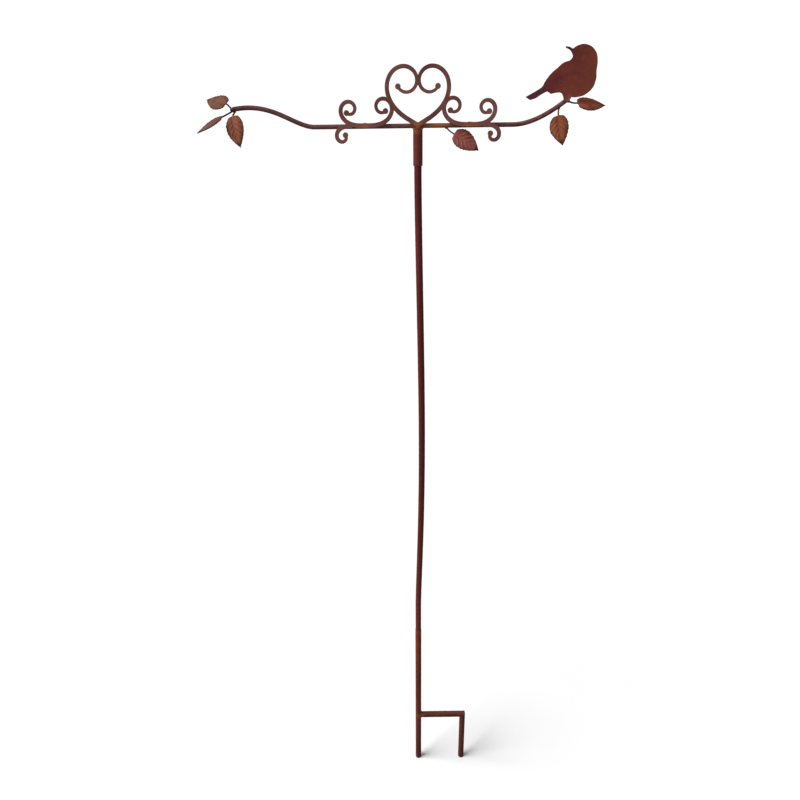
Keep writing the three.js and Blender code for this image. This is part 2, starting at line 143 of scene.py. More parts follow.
# Leaves and their wires
LEAF_LENGTH = 47
LEAF_WIDTH = 30
LEAF_THICKNESS = 1
LEAF_BASE_WIDTH = 2.8
LEAF_TIP_WIDTH = 0.9
LEAF_WIDEST = 0.36
LEAF_TAPER = 0.95
LEAF_TIP_SHARPNESS = 24
LEAF_LOBE = 1.6
LOBE_FADE = 4
LOBE_START = (0, 0.055)
LEAF_TEETH = 9
LEAF_TOOTH_DEPTH = 0.95
LEAF_TOOTH_SHIFT = 0.5
TOOTH_SHIFT_PITCH = 9
TOOTH_SHIFT_SIDE = 3
TOOTH_DEPTH_SIDE = 5
TOOTH_DEPTH_SPREAD = 0.9
TOOTH_CREST = 0.75
TOOTH_FADE = 8
TOOTH_START = (0.02, 0.2)
LEAF_CUP = 1.6
LEAF_MARGIN_DROP = 1.2
LEAF_CURL = 5
LEAF_STEPS_PER_TOOTH = 10
LEAF_HALF_STEPS = 24
VEIN_COUNT = 6
VEIN_SLANT = 0.3
VEIN_HEIGHT = 0.6
VEIN_SHARPNESS = 4
VEIN_CURVE = 0.85
VEIN_STAGGER = 0.25
VEIN_FROM_RIB = (0.02, 0.16)
VEIN_TO_EDGE = (0.78, 1)
VEIN_FROM_BASE = (0.06, 0.18)
VEIN_TO_TIP = (0.84, 0.97)
# Where the painted shade beside each vein lies and how wide it is, as shares of the vein spacing
VEIN_SHADE_PLACE = 0.24
VEIN_SHADE_WIDTH = 0.13
MIDRIB_HEIGHT = 0.7
MIDRIB_WIDTH = 1.0
MIDRIB_TAPER = 1.2
MIDRIB_FADE = 0.5
MARGIN_ACROSS = (0.86, 1)
MARGIN_ALONG = (0.76, 0.92)
CHANCE_PER_DEGREE = 0.37
STEM_RADIUS = 1.25
STEM_TIP_RADIUS = 0.45
STEM_ON_LEAF = 10
STEM_ON_LEAF_STEPS = 5
STEM_STEPS = 16
STEM_EASE = 0.42
PAIR_REACH = 2.6

# Weld beads
BEAD_PITCH = 1.7
BEAD_RIPPLE = 0.12
BEAD_LUMP = 0.2
BEAD_END_POWER = 4
BEAD_END_LEAST = 0.02
BEAD_SIDES = 16
FOOT_BEAD_RADIUS = 1.1
CORNER_BEAD_RADIUS = 0.6
CORNER_BEAD_INSET = 0.3
SLEEVE_BEAD_RADIUS = 1.15
SLEEVE_BEAD_LIFT = 0.2
SLEEVE_BEAD_OVERLAP = 0.35
PLATE_BEAD_RADIUS = 2.2
PLATE_BEAD_LENGTH = 9
PLATE_BEAD_STEPS = 24
BIRD_BEAD_DEPTH = 1.2
BIRD_BEAD_LIFT = 1.5
SCROLL_BEAD_DEPTH = 1
SCROLL_BEAD_DROP = 0.6
STEM_BEAD_RADIUS = 0.95
STEM_BEAD_LIFT = 0.5
COLLAR_RADIUS = STEM_RADIUS + STEM_BEAD_RADIUS / 3
DROP_RADIUS = 2.8
DROP_SET_BACK = 0.8
DROP_LUMP_SIZE = 1.7
DROP_ROWS = 16
DROP_SIDES = 24
BEAD_STEPS = 48
RING_BEAD_STEPS = 120

# Meshes: how far along y a path may set off, and the angle in degrees that shows as an edge
NEARLY_SIDEWAYS = 0.9
SHARP_ANGLE = 35


def in_head(x, z, y=0.0):
    """A point given from the middle of the branch."""
    return Vector((x, y, BRANCH_AXIS + z))


def mixed(low, high, share):
    return low + (high - low) * share


def smooth_step(low, high, value):
    share = min(max((value - low) / (high - low), 0), 1)
    return share * share * (3 - 2 * share)


def bezier(points, share):
    rest = 1 - share
    a, b, c, d = points
    return a * rest**3 + b * (3 * rest**2 * share) + c * (3 * rest * share**2) + d * share**3


def bezier_direction(points, share):
    rest = 1 - share
    a, b, c, d = points
    pull = (b - a) * rest**2 + (c - b) * (2 * rest * share) + (d - c) * share**2
    return pull.normalized()


# Meshes from rings of points


def frames_along(path, closed=False):
    """Centre, side and third direction at each point, carried along the path without twisting."""
    side = Vector((0, 1, 0))
    frames = []
    last = len(path) - 1
    for i, centre in enumerate(path):
        before = path[i - 1] if closed or i > 0 else centre
        after = path[(i + 1) % len(path)] if closed or i < last else centre
        along = (after - before).normalized()
        if i == 0 and abs(along.y) > NEARLY_SIDEWAYS:
            side = Vector((1, 0, 0))
        side = (side - along * side.dot(along)).normalized()
        frames.append((centre, side, along.cross(side)))
    return frames


def ring(centre, side, third, radius, sides):
    angles = [math.tau * k / sides for k in range(sides)]
    return [centre + side * (radius * math.cos(a)) + third * (radius * math.sin(a)) for a in angles]


def loft(rings, closed=False):
    """Points and faces of a skin over rings. An open row of rings is capped at both ends."""
    sides = len(rings[0])
    count = len(rings)
    points = [point for row in rings for point in row]
    faces = []
    for i in range(count if closed else count - 1):
        here = i * sides
        there = (i + 1) % count * sides
        for k in range(sides):
            n = (k + 1) % sides
            faces.append((here + k, here + n, there + n, there + k))
    if not closed:
        faces.append(tuple(reversed(range(sides))))
        faces.append(tuple(range((count - 1) * sides, count * sides)))
    return points, faces


def with_end_rings(path, inset):
    """The path with one more point a little way in from each end."""
    first = path[0] + (path[1] - path[0]).normalized() * inset
    last = path[-1] + (path[-2] - path[-1]).normalized() * inset
    return [path[0], first, *path[1:-1], last, path[-1]]


def rod(path, radius, sides, chamfer):
    frames = frames_along(with_end_rings(path, chamfer))
    last = len(frames) - 1
    radii = [radius - chamfer if i in (0, last) else radius for i in range(last + 1)]
    return loft([ring(*place, size, sides) for place, size in zip(frames, radii)])


def tube(path, outer, inner):
    """A tube along a path, open at both ends, with a small chamfer on every rim."""
    frames = frames_along(with_end_rings(path, RIM_CHAMFER))
    last = len(frames) - 1
    outside = []
    inside = []
    for i, place in enumerate(frames):
        ease = RIM_CHAMFER if i in (0, last) else 0
        outside.append(ring(*place, outer - ease, TUBE_SIDES))
        inside.append(ring(*place, inner + ease, TUBE_SIDES))
    return loft(outside + inside[::-1], closed=True)


def cut_tube(centre, along, stations):
    """A straight tube whose ends are cut to a shape. A station is a radius and a rule that gives, for a
    point's offset from the axis, how far along the tube it lies."""
    side = Vector((0, 1, 0))
    third = along.cross(side)
    rings = []
    for radius, place_of in stations:
        offsets = ring(Vector(), side, third, radius, TUBE_SIDES)
        rings.append([centre + offset + along * place_of(offset) for offset in offsets])
    return loft(rings, closed=True)


def lump(point, seed):
    """How much a bit of weld metal swells at a point, around 1."""
    return 1 + BEAD_LUMP * noise.noise(point + Vector((seed, 0, 0)))


def bead(path, radius, seed, closed=False):
    """A weld bead along a path: drops laid over one another, uneven in height."""
    frames = frames_along(path, closed)
    steps = [(b - a).length for a, b in zip(path, path[1:])]
    length = sum(steps) + (path[0] - path[-1]).length * closed
    drops = max(round(length / BEAD_PITCH), 1)
    rings = []
    travelled = 0
    for i, (centre, side, third) in enumerate(frames):
        share = travelled / length
        travelled += steps[i] if i < len(steps) else 0
        ease = 1 if closed else max(1 - (2 * share - 1) ** BEAD_END_POWER, BEAD_END_LEAST) ** 0.5
        size = radius * ease * (1 + BEAD_RIPPLE * math.sin(math.tau * drops * share))
        row = ring(Vector(), side, third, size, BEAD_SIDES)
        rings.append([centre + offset * lump((centre + offset) / radius, seed) for offset in row])
    return loft(rings, closed)


def blob(centre, radius, seed):
    """An uneven drop of weld metal."""
    across = Vector((1, 0, 0))
    back = Vector((0, 1, 0))
    rings = []
    for i in range(1, DROP_ROWS):
        polar = math.pi * i / DROP_ROWS
        flat = ring(Vector((0, 0, -math.cos(polar))), across, back, math.sin(polar), DROP_SIDES)
        rings.append([centre + way * radius * lump(way * DROP_LUMP_SIZE, seed) for way in flat])
    return loft(rings)


# Flat sheets from outlines in x and z


def spline_through(points):
    """A smooth line through points, without the first one."""
    line = []
    last = len(points) - 1
    for i in range(last):
        a, b, c, d = points[max(i - 1, 0)], points[i], points[i + 1], points[min(i + 2, last)]
        leave = (c - a) / 2
        arrive = (d - b) / 2
        cubic = (b - c) * 2 + leave + arrive
        square = (c - b) * 3 - leave * 2 - arrive
        for step in range(1, PLATE_CURVE_STEPS + 1):
            t = step / PLATE_CURVE_STEPS
            line.append(cubic * t**3 + square * t**2 + leave * t + b)
    return line


def drawn_in(outline, inset):
    """The outline moved into the material, which lies on its left."""
    moved = []
    for i, point in enumerate(outline):
        came = (point - outline[i - 1]).normalized()
        goes = (outline[(i + 1) % len(outline)] - point).normalized()
        out = Vector((came.y + goes.y, -came.x - goes.x)).normalized()
        lean = max(out.dot(Vector((came.y, -came.x))), CORNER_LEAN_LEAST)
        moved.append(point - out * (inset / lean))
    return moved


def plate(outlines):
    """A sheet with softened edges. Outlines run with the material on their left."""
    front = PLATE_BACK - PLATE_THICKNESS
    depths = (front, front + PLATE_EDGE, PLATE_BACK - PLATE_EDGE, PLATE_BACK)
    insets = [drawn_in(outline, PLATE_EDGE) for outline in outlines]
    points = []
    faces = []
    front_rim = []
    back_rim = []
    for outline, inset in zip(outlines, insets):
        count = len(outline)
        first = len(points)
        for depth, line in zip(depths, (inset, outline, outline, inset)):
            points.extend(in_head(p.x, p.y, depth) for p in line)
        for a in range(first, first + 3 * count):
            b = a + 1 if (a + 1 - first) % count else a + 1 - count
            faces.append((a, a + count, b + count, b))
        front_rim.extend(range(first, first + count))
        back_rim.extend(range(first + 3 * count, first + 4 * count))
    for a, b, c in geometry.tessellate_polygon([[p.to_3d() for p in line] for line in insets]):
        faces.append((front_rim[a], front_rim[b], front_rim[c]))
        faces.append((back_rim[a], back_rim[c], back_rim[b]))
    return points, faces


def signed_area(outline):
    return sum(a.cross(b) for a, b in zip(outline, outline[1:] + outline[:1])) / 2


def joined_outlines(shapes):
    """The outlines of overlapping shapes laid together, each with the material on its left."""
    shapes = [shape if signed_area(shape) > 0 else shape[::-1] for shape in shapes]
    points = [point for shape in shapes for point in shape]
    polygons = []
    for shape in shapes:
        first = polygons[-1][-1] + 1 if polygons else 0
        polygons.append(list(range(first, first + len(shape))))
    laid = geometry.delaunay_2d_cdt(points, [], polygons, INSIDE_FACES, SAME_POINT)
    spots, _, faces, _, _, owners = laid
    edges = set()
    for face, owner in zip(faces, owners):
        if owner:
            edges.update(zip(face, face[1:] + face[:1]))
    after = {a: b for a, b in edges if (b, a) not in edges}
    outlines = []
    while after:
        start, spot = after.popitem()
        outline = [spots[start]]
        while spot != start:
            outline.append(spots[spot])
            spot = after.pop(spot)
        outlines.append(outline)
    return outlines


# Pieces


def add_piece(node, shape, material, marks=None):
    """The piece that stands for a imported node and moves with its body."""
    points, faces = shape
    mesh = bpy.data.meshes.new(f"{node}_steel")
    mesh.from_pydata([point * MM for point in points], [], faces)
    for mark, values in (marks or {}).items():
        mesh.attributes.new(mark, "FLOAT", "POINT").data.foreach_set("value", values)
    solid = bmesh.new()
    solid.from_mesh(mesh)
    bmesh.ops.recalc_face_normals(solid, faces=solid.faces)
    solid.to_mesh(mesh)
    solid.free()
    mesh.polygons.foreach_set("use_smooth", [True] * len(mesh.polygons))
    mesh.set_sharp_from_angle(angle=math.radians(SHARP_ANGLE))
    mesh.materials.append(material)
    piece = bpy.data.objects.new(f"{node}_steel", mesh)
    bpy.context.scene.collection.objects.link(piece)
    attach(piece, frame["nodes"][node]["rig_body"])
    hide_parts(node)


def vertical(x, bottom, top):
    return [Vector((x, 0, bottom)), Vector((x, 0, top))]


def rounded_corner(point, inset=0):
    """A point of the foot's mitred corner, drawn in to a round outer edge."""
    radius = CORNER_ROUNDING - inset
    shift = FOOT_RADIUS - CORNER_ROUNDING
    centre = Vector((LEG_SPACING + shift, point.y, STEP_HEIGHT + shift))
    way = point - centre
    if min(way.x, way.z) <= 0 or way.length <= radius:
        return point
    return centre + way.normalized() * radius


def corner_tube(centre, along, outer, inner, at_corner):
    """A tube of the foot from its far end, given by outer and inner stations, to the mitred corner, with
    rings close together there."""
    stations = list(outer)
    for back in CORNER_RINGS:
        stations.append((FOOT_RADIUS, lambda offset, back=back: at_corner(offset) - back))
    stations.append((FOOT_BORE_RADIUS, at_corner))
    points, faces = cut_tube(centre, along, stations + list(inner))
    return [rounded_corner(point) for point in points], faces


def build_foot():
    upright = tube(vertical(0, foot_low.z, foot_high.z), FOOT_RADIUS, FOOT_BORE_RADIUS)
    add_piece("foot_upright", upright, foot_rust)

    def on_upright(offset):
        return math.sqrt((FOOT_RADIUS + SEAT_GAP) ** 2 - offset.y**2)

    def at_mitre(offset):
        return LEG_SPACING - SEAT_GAP / 2 + offset.z

    outer = [(FOOT_RADIUS, on_upright)]
    inner = [(FOOT_BORE_RADIUS, on_upright)]
    step = corner_tube(Vector((0, 0, STEP_HEIGHT)), Vector((1, 0, 0)), outer, inner, at_mitre)
    add_piece("step_bar", step, brace_rust)

    def under_mitre(offset):
        return STEP_HEIGHT - SEAT_GAP / 2 + offset.x

    def at_tip(offset):
        return 0

    def above_tip(offset):
        return RIM_CHAMFER

    outer = [(FOOT_RADIUS - RIM_CHAMFER, at_tip), (FOOT_RADIUS, above_tip)]
    inner = [(FOOT_BORE_RADIUS, above_tip), (FOOT_BORE_RADIUS + RIM_CHAMFER, at_tip)]
    prong = corner_tube(Vector((LEG_SPACING, 0, 0)), Vector((0, 0, 1)), outer, inner, under_mitre)
    add_piece("ground_prong", prong, brace_rust)

    saddle = []
    mitre = []
    reach = FOOT_RADIUS + SEAT_GAP + FOOT_BEAD_RADIUS / 2
    corner = FOOT_RADIUS - CORNER_BEAD_INSET
    for k in range(RING_BEAD_STEPS):
        angle = math.tau * k / RING_BEAD_STEPS
        y = math.sin(angle)
        z = math.cos(angle)
        x = math.sqrt(reach**2 - (FOOT_RADIUS * y) ** 2)
        saddle.append(Vector((x, FOOT_RADIUS * y, STEP_HEIGHT + FOOT_RADIUS * z)))
        edge = Vector((LEG_SPACING + corner * z, corner * y, STEP_HEIGHT + corner * z))
        mitre.append(rounded_corner(edge, CORNER_BEAD_INSET))
    step_weld = bead(saddle, FOOT_BEAD_RADIUS, seed=3, closed=True)
    add_piece("weld_step_bar", step_weld, weld_rust)
    corner_weld = bead(mitre, CORNER_BEAD_RADIUS, seed=9, closed=True)
    add_piece("weld_prong_corner", corner_weld, brace_rust)
    spigot_slots = frame["nodes"]["joining_spigot"].data.materials
    spigot_slots.clear()
    spigot_slots.append(spigot_steel)


def build_post():
    bottom, top = post_low.z, post_high.z
    path = [Vector((0, 0, bottom))]
    for i in range(BOW_STEPS + 1):
        share = i / BOW_STEPS
        skewed = share * (1 + POST_BOW_SKEW) / (1 + share * POST_BOW_SKEW)
        swing = POST_BOW * math.sin(math.pi * skewed) ** POST_BOW_EASE
        path.append(Vector((swing, 0, mixed(bottom + BOW_MARGIN, top - BOW_MARGIN, share))))
    path.append(Vector((0, 0, top)))
    add_piece("post_tube", tube(path, POST_RADIUS, POST_BORE_RADIUS), post_rust)


left_arm = [in_head(x, z) for x, z in LEFT_ARM]
right_arm = [in_head(x, z) for x, z in RIGHT_ARM]
arm_shares = [i / ARM_STEPS for i in range(ARM_STEPS + 1)]


def build_branch():
    path = [bezier(left_arm, share) for share in reversed(arm_shares)]
    path += [bezier(right_arm, share) for share in arm_shares]
    bar = rod(path, BRANCH_RADIUS, BAR_SIDES, BAR_END_CHAMFER)
    add_piece("branch_bar", bar, branch_rust)
    sleeve = tube(vertical(0, sleeve_low.z, sleeve_high.z), SLEEVE_RADIUS, SLEEVE_BORE_RADIUS)
    add_piece("head_sleeve", sleeve, sleeve_rust)
    for seed, (side, hand) in enumerate((("left", -1), ("right", 1))):
        seam = []
        for k in range(BEAD_STEPS + 1):
            angle = mixed(-SLEEVE_BEAD_OVERLAP, math.pi + SLEEVE_BEAD_OVERLAP, k / BEAD_STEPS)
            way = Vector((hand * math.sin(angle), -math.cos(angle), 0))
            height = Vector((0, 0, sleeve_high.z + SLEEVE_BEAD_LIFT))
            seam.append(height + way * SLEEVE_RADIUS)
        shape = bead(seam, SLEEVE_BEAD_RADIUS, seed)
        add_piece(f"weld_sleeve_{side}", shape, weld_rust)


# Bird: it looks back over its tail, measured from the tip of the right arm
BEAK_TIP = (-9.8, 71.9)
BEAK_RIDGE = (-3.6, 70.9)
BEAK_END = (-9.4, 69.7)
FOREHEAD = (1, 68.6)
CROWN_TO_BELLY = (
    (8.5, 73), (18.3, 74.6), (29, 71), (37, 62.5), (39.8, 51), (39.4, 38),
    (40, 28), (36, 15.5), (25, 6), (13, 2.8), (5, 3),
)
PERCH_FOOT = ((1.5, -3), (-6, -3.4))
VENT = ((-8.2, 5), (-12, 9.2), (-19, 9.2), (-27, 7.8))
VENT_NOTCH = ((-29.6, 9.8), (-33, 11.3))
TAIL_UNDERSIDE = ((-42, 6.8), (-50, 2), (-58, -0.4))
TAIL_TIP = (-65.4, 4)
TAIL_AND_BACK = (
    (-51, 11.6), (-41.2, 17.6), (-36.8, 25.2), (-29.2, 35.3), (-20, 43.1), (-11, 50.2), (-2, 53),
)
THROAT = ((1.8, 57.5), (0.4, 62.6), (-3.6, 67.1))
BREAST = (40, 30)
perch = Vector(RIGHT_ARM[3])


def build_bird():
    outline = [perch + Vector(BEAK_TIP)]

    def straight(*spots):
        outline.extend(perch + Vector(spot) for spot in spots)

    def curved(*spots):
        outline.extend(spline_through([outline[-1], *(perch + Vector(spot) for spot in spots)]))

    straight(BEAK_RIDGE, FOREHEAD)
    curved(*CROWN_TO_BELLY)
    straight(*PERCH_FOOT)
    curved(*VENT)
    straight(*VENT_NOTCH)
    curved(*TAIL_UNDERSIDE)
    straight(TAIL_TIP)
    curved(*TAIL_AND_BACK)
    curved(*THROAT, BEAK_END)
    add_piece("bird_plate", plate([outline[::-1]]), bird_rust)

    climb = bezier_direction(right_arm, 1)
    middle = in_head(*RIGHT_ARM[3], PLATE_BACK + BIRD_BEAD_DEPTH) - climb * (PLATE_BEAD_LENGTH / 2)
    middle.z += BIRD_BEAD_LIFT
    add_piece("weld_bird_foot", plate_bead(middle, climb, seed=21), weld_rust)


def plate_bead(middle, along, seed):
    half = PLATE_BEAD_LENGTH / 2
    shares = [k / PLATE_BEAD_STEPS for k in range(PLATE_BEAD_STEPS + 1)]
    path = [middle + along * mixed(-half, half, share) for share in shares]
    return bead(path, PLATE_BEAD_RADIUS, seed)


def volute(start, heading, spread, turns):
    """A line that starts straight and bends more and more, evenly along its length."""
    turn = math.tau * turns
    length = spread * math.sqrt(2 * abs(turn))
    point = start.copy()
    points = [start.copy()]
    travelled = 0
    for i in range(1, SCROLL_STEPS + 1):
        end = length * math.sqrt(i / SCROLL_STEPS)
        stride = (end - travelled) / SCROLL_SUBSTEPS
        for k in range(SCROLL_SUBSTEPS):
            angle = heading + turn * ((travelled + (k + 0.5) * stride) / length) ** 2
            point += Vector((math.cos(angle), math.sin(angle))) * stride
        travelled = end
        points.append(point.copy())
    return points


def strip(centre, widest):
    """Outline of a flat strip that narrows from its widest point to its ends."""
    left = []
    right = []
    last = len(centre) - 1
    for i, point in enumerate(centre):
        along = (centre[min(i + 1, last)] - centre[max(i - 1, 0)]).normalized()
        share = abs(i - widest) / (widest if i < widest else last - widest)
        across = Vector((-along.y, along.x)) * (mixed(SCROLL_WIDTH, SCROLL_TIP_WIDTH, share) / 2)
        left.append(point + across)
        right.append(point - across)
    return left + right[::-1]


def round_end(centre):
    angles = [math.tau * k / SCROLL_END_SIDES for k in range(SCROLL_END_SIDES)]
    return [centre + Vector((math.cos(a), math.sin(a))) * SCROLL_END_RADIUS for a in angles]


def build_scrolls():
    foot = Vector((0, SCROLL_SEAT))
    side_foot = Vector((SIDE_SCROLL_X, SCROLL_SEAT))
    heart = volute(foot, math.radians(HEART_HEADING), HEART_SPREAD, HEART_TURNS)
    side = volute(side_foot, math.pi, INNER_SCROLL_SPREAD, -SIDE_SCROLL_TURNS)[::-1]
    side += volute(side_foot, 0, OUTER_SCROLL_SPREAD, SIDE_SCROLL_TURNS)[1:]
    tendril = volute(side_foot + Vector((TENDRIL_RUN, 0)), 0, TENDRIL_SPREAD, -TENDRIL_TURNS)
    shapes = [round_end(foot)]
    for hand in (-1, 1):
        lines = [[Vector((hand * p.x, p.y)) for p in line] for line in (heart, side, tendril)]
        for line, widest in zip(lines, (0, SCROLL_STEPS, 0)):
            shapes.append(strip(line, widest))
        ends = (lines[0][-1], lines[1][0], lines[1][-1], lines[2][-1])
        shapes.extend(round_end(end) for end in ends)
    add_piece("scroll_plate", plate(joined_outlines(shapes)), scroll_rust)
    for place, x in zip(("left", "middle", "right"), PLATE_WELD_X):
        middle = in_head(x, BRANCH_RADIUS - SCROLL_BEAD_DROP, PLATE_BACK + SCROLL_BEAD_DEPTH)
        shape = plate_bead(middle, Vector((1, 0, 0)), seed=x)
        add_piece(f"weld_scroll_{place}", shape, weld_rust)


# Where stems leave the branch: two shares of an arm, and a place along the straight part
TIP_ROOT = 0.985
RIGHT_HANGING_ROOT = 0.84
MIDDLE_ROOT_X = 41.9

# Leaves. outward is the way the stem leaves its root, and offset the leaf's base from there. heading
# turns the leaf in the plane of the head, lean tips it back from the front and turn rolls it about its
# midrib, in degrees. sweep bows the midrib sideways, and veins is how strongly its veins show.
Leaf = namedtuple("Leaf", "name root outward offset heading lean turn sweep veins")
SINGLE_LEAVES = (
    Leaf("left_hanging", bezier(left_arm, TIP_ROOT), (0, -1), (-2.7, -9.4), -80, -18, 10, -1.6, 1),
    Leaf("middle", in_head(MIDDLE_ROOT_X, 0), (0.66, -0.75), (14.8, -12.5), -31, 0, -10, 1.2, 1),
    Leaf("right_hanging", bezier(right_arm, RIGHT_HANGING_ROOT), (0, -1), (0.6, -13.8), -83, -30, 8, -1.6, 1),
    Leaf("right_end", bezier(right_arm, TIP_ROOT), (0.9, -0.44), (17.8, -4.4), 0, 10, -50, 0, 0.35),
)
PALE_STEMS = ("middle", "right_hanging")
LEAF_PAIR = (
    Leaf("left_upper", left_arm[3], None, (-8.8, 8.4), 165, 34, 39, 0, 0.5),
    Leaf("left_lower", left_arm[3], None, (-17.6, -10.4), 203, 0, 70, 0, 0.6),
)


def leaf_turn(leaf):
    heading = Matrix.Rotation(-math.radians(leaf.heading), 3, "Y")
    lean = Matrix.Rotation(math.radians(leaf.lean), 3, "Z")
    turn = Matrix.Rotation(math.pi / 2 + math.radians(leaf.turn), 3, "X")
    return heading @ lean @ turn


def leaf_base(leaf):
    return leaf.root + Vector((leaf.offset[0], 0, leaf.offset[1]))


def uneven(leaf, *place):
    """A steady chance value around 0 for a place on a leaf."""
    return noise.noise(Vector((leaf.heading * CHANCE_PER_DEGREE, *place)))


def leaf_swell(along):
    """Share of the half width at a share of the length: round at the base, drawn out to a fine tip."""
    if along < LEAF_WIDEST:
        return math.sqrt(1 - (1 - along / LEAF_WIDEST) ** 2)
    past = ((along - LEAF_WIDEST) / (1 - LEAF_WIDEST)) ** LEAF_TAPER
    return math.cos(math.pi / 2 * past) * (1 - along**LEAF_TIP_SHARPNESS)


def midrib_bow(leaf, along):
    return leaf.sweep * 4 * along * (1 - along)


def leaf_spot(leaf, along, across):
    """Middle of the sheet at a share of the leaf's length and half width, with its marks."""
    out = abs(across)
    hand = math.copysign(1, across)
    swell = leaf_swell(along)
    ends = mixed(LEAF_BASE_WIDTH, LEAF_TIP_WIDTH, along) / 2
    body = ends + (LEAF_WIDTH / 2 - ends - LEAF_TOOTH_DEPTH) * swell
    shift = uneven(leaf, TOOTH_SHIFT_PITCH * along, TOOTH_SHIFT_SIDE * hand)
    teeth = LEAF_TEETH * along + LEAF_TOOTH_SHIFT * shift
    saw = teeth % 1
    crest = min(saw / TOOTH_CREST, (1 - saw) / (1 - TOOTH_CREST))
    chance = uneven(leaf, math.floor(teeth) + 0.5, TOOTH_DEPTH_SIDE * hand)
    depth = LEAF_TOOTH_DEPTH * (1 + TOOTH_DEPTH_SPREAD * chance)
    tooth = depth * crest * swell * out**TOOTH_FADE * smooth_step(*TOOTH_START, along)
    lobe = LEAF_LOBE * (1 - along) ** LOBE_FADE * smooth_step(*LOBE_START, along)
    x = LEAF_LENGTH * along - lobe * out * out
    aside = (body * out + tooth) * hand
    y = midrib_bow(leaf, along) + aside

    phase = (VEIN_COUNT * (along - VEIN_SLANT * out**VEIN_CURVE) + VEIN_STAGGER * hand) % 1
    ridge = (0.5 + 0.5 * math.cos(math.tau * phase)) ** VEIN_SHARPNESS
    # Where the painted shade beside each vein falls
    groove = math.exp(-(((phase - VEIN_SHADE_PLACE) / VEIN_SHADE_WIDTH) ** 2))
    inner = smooth_step(*VEIN_FROM_RIB, out) * (1 - smooth_step(*VEIN_TO_EDGE, out))
    inner *= smooth_step(*VEIN_FROM_BASE, along) * (1 - smooth_step(*VEIN_TO_TIP, along))
    rib = math.exp(-((aside / (MIDRIB_WIDTH * (MIDRIB_TAPER - along))) ** 2)) * (1 - MIDRIB_FADE * along)
    bulge = LEAF_CUP * math.sin(math.pi * out) - LEAF_MARGIN_DROP * out * out
    height = bulge * swell - LEAF_CURL * along * along
    height += leaf.veins * VEIN_HEIGHT * ridge * inner * swell + MIDRIB_HEIGHT * rib
    margin = max(smooth_step(*MARGIN_ACROSS, out), smooth_step(*MARGIN_ALONG, along))
    return Vector((x, y, height)), max(ridge * inner, rib), groove * inner, margin


def leaf_sheet(leaf):
    rows = LEAF_TEETH * LEAF_STEPS_PER_TOOTH
    columns = 2 * LEAF_HALF_STEPS
    base = leaf_base(leaf)
    turn = leaf_turn(leaf)
    half = Vector((0, 0, LEAF_THICKNESS / 2))
    front = []
    back = []
    marks = {"vein": [], "groove": [], "margin": []}
    for i in range(rows + 1):
        for j in range(columns + 1):
            spot, *values = leaf_spot(leaf, i / rows, j / LEAF_HALF_STEPS - 1)
            front.append(base + turn @ (spot + half))
            back.append(base + turn @ (spot - half))
            for mark, value in zip(marks.values(), values):
                mark.append(value)
    width = columns + 1
    under = len(front)
    faces = []
    for i in range(rows):
        for j in range(columns):
            a = i * width + j
            faces.append((a, a + width, a + width + 1, a + 1))
            faces.append((under + a, under + a + 1, under + a + width + 1, under + a + width))
    rim = [i * width for i in range(rows)]
    rim += [rows * width + j for j in range(columns)]
    rim += [i * width + columns for i in range(rows, 0, -1)]
    rim += list(range(columns, 0, -1))
    for a, b in zip(rim, rim[1:] + rim[:1]):
        faces.append((a, under + a, under + b, b))
    return (front + back, faces), {name: values + values for name, values in marks.items()}


def add_leaf(leaf):
    shape, marks = leaf_sheet(leaf)
    add_piece(f"leaf_{leaf.name}", shape, leaf_rust[leaf.name], marks)


def stem_line(lead, outward, leaf):
    """A wire that sets off along outward, bends over to the leaf and lies on along its midrib."""
    turn = leaf_turn(leaf)
    midrib = turn @ Vector((1, 0, 0))
    base = leaf_base(leaf)
    ease = STEM_EASE * (base - lead).length
    bend = (lead, lead + outward * ease, base - midrib * ease, base)
    line = [bezier(bend, k / STEM_STEPS) for k in range(STEM_STEPS + 1)]
    tip = []
    for k in range(1, STEM_ON_LEAF_STEPS + 1):
        x = STEM_ON_LEAF * k / STEM_ON_LEAF_STEPS
        tip.append(base + turn @ Vector((x, midrib_bow(leaf, x / LEAF_LENGTH), 0)))
    return line, tip


def wire(path, radii):
    frames = frames_along(path)
    return loft([ring(*place, radius, WIRE_SIDES) for place, radius in zip(frames, radii)])


def tip_radii(count):
    return [mixed(STEM_RADIUS, STEM_TIP_RADIUS, (k + 1) / count) for k in range(count)]


def collar(centre, axis):
    """A closed ring round a stem's root, for its bead."""
    _, side, third = frames_along([centre, centre + axis])[0]
    return ring(centre, side, third, COLLAR_RADIUS, BEAD_STEPS)


def build_single_leaf(seed, leaf):
    add_leaf(leaf)
    outward = Vector((leaf.outward[0], 0, leaf.outward[1])).normalized()
    foot = leaf.root + outward * BRANCH_RADIUS
    line, tip = stem_line(foot + outward * (STEM_RADIUS / 2), outward, leaf)
    line = [foot - outward * STEM_RADIUS, foot, *line]
    radii = [STEM_RADIUS] * len(line) + tip_radii(len(tip))
    pale = leaf.name in PALE_STEMS
    stem = wire(line + tip, radii)
    add_piece(f"stem_{leaf.name}", stem, stem_rust if pale else dark_stem)
    root = collar(foot + outward * STEM_BEAD_LIFT, outward)
    root_weld = bead(root, STEM_BEAD_RADIUS, seed, closed=True)
    add_piece(f"weld_stem_{leaf.name}", root_weld, bar_weld if pale else dark_weld)


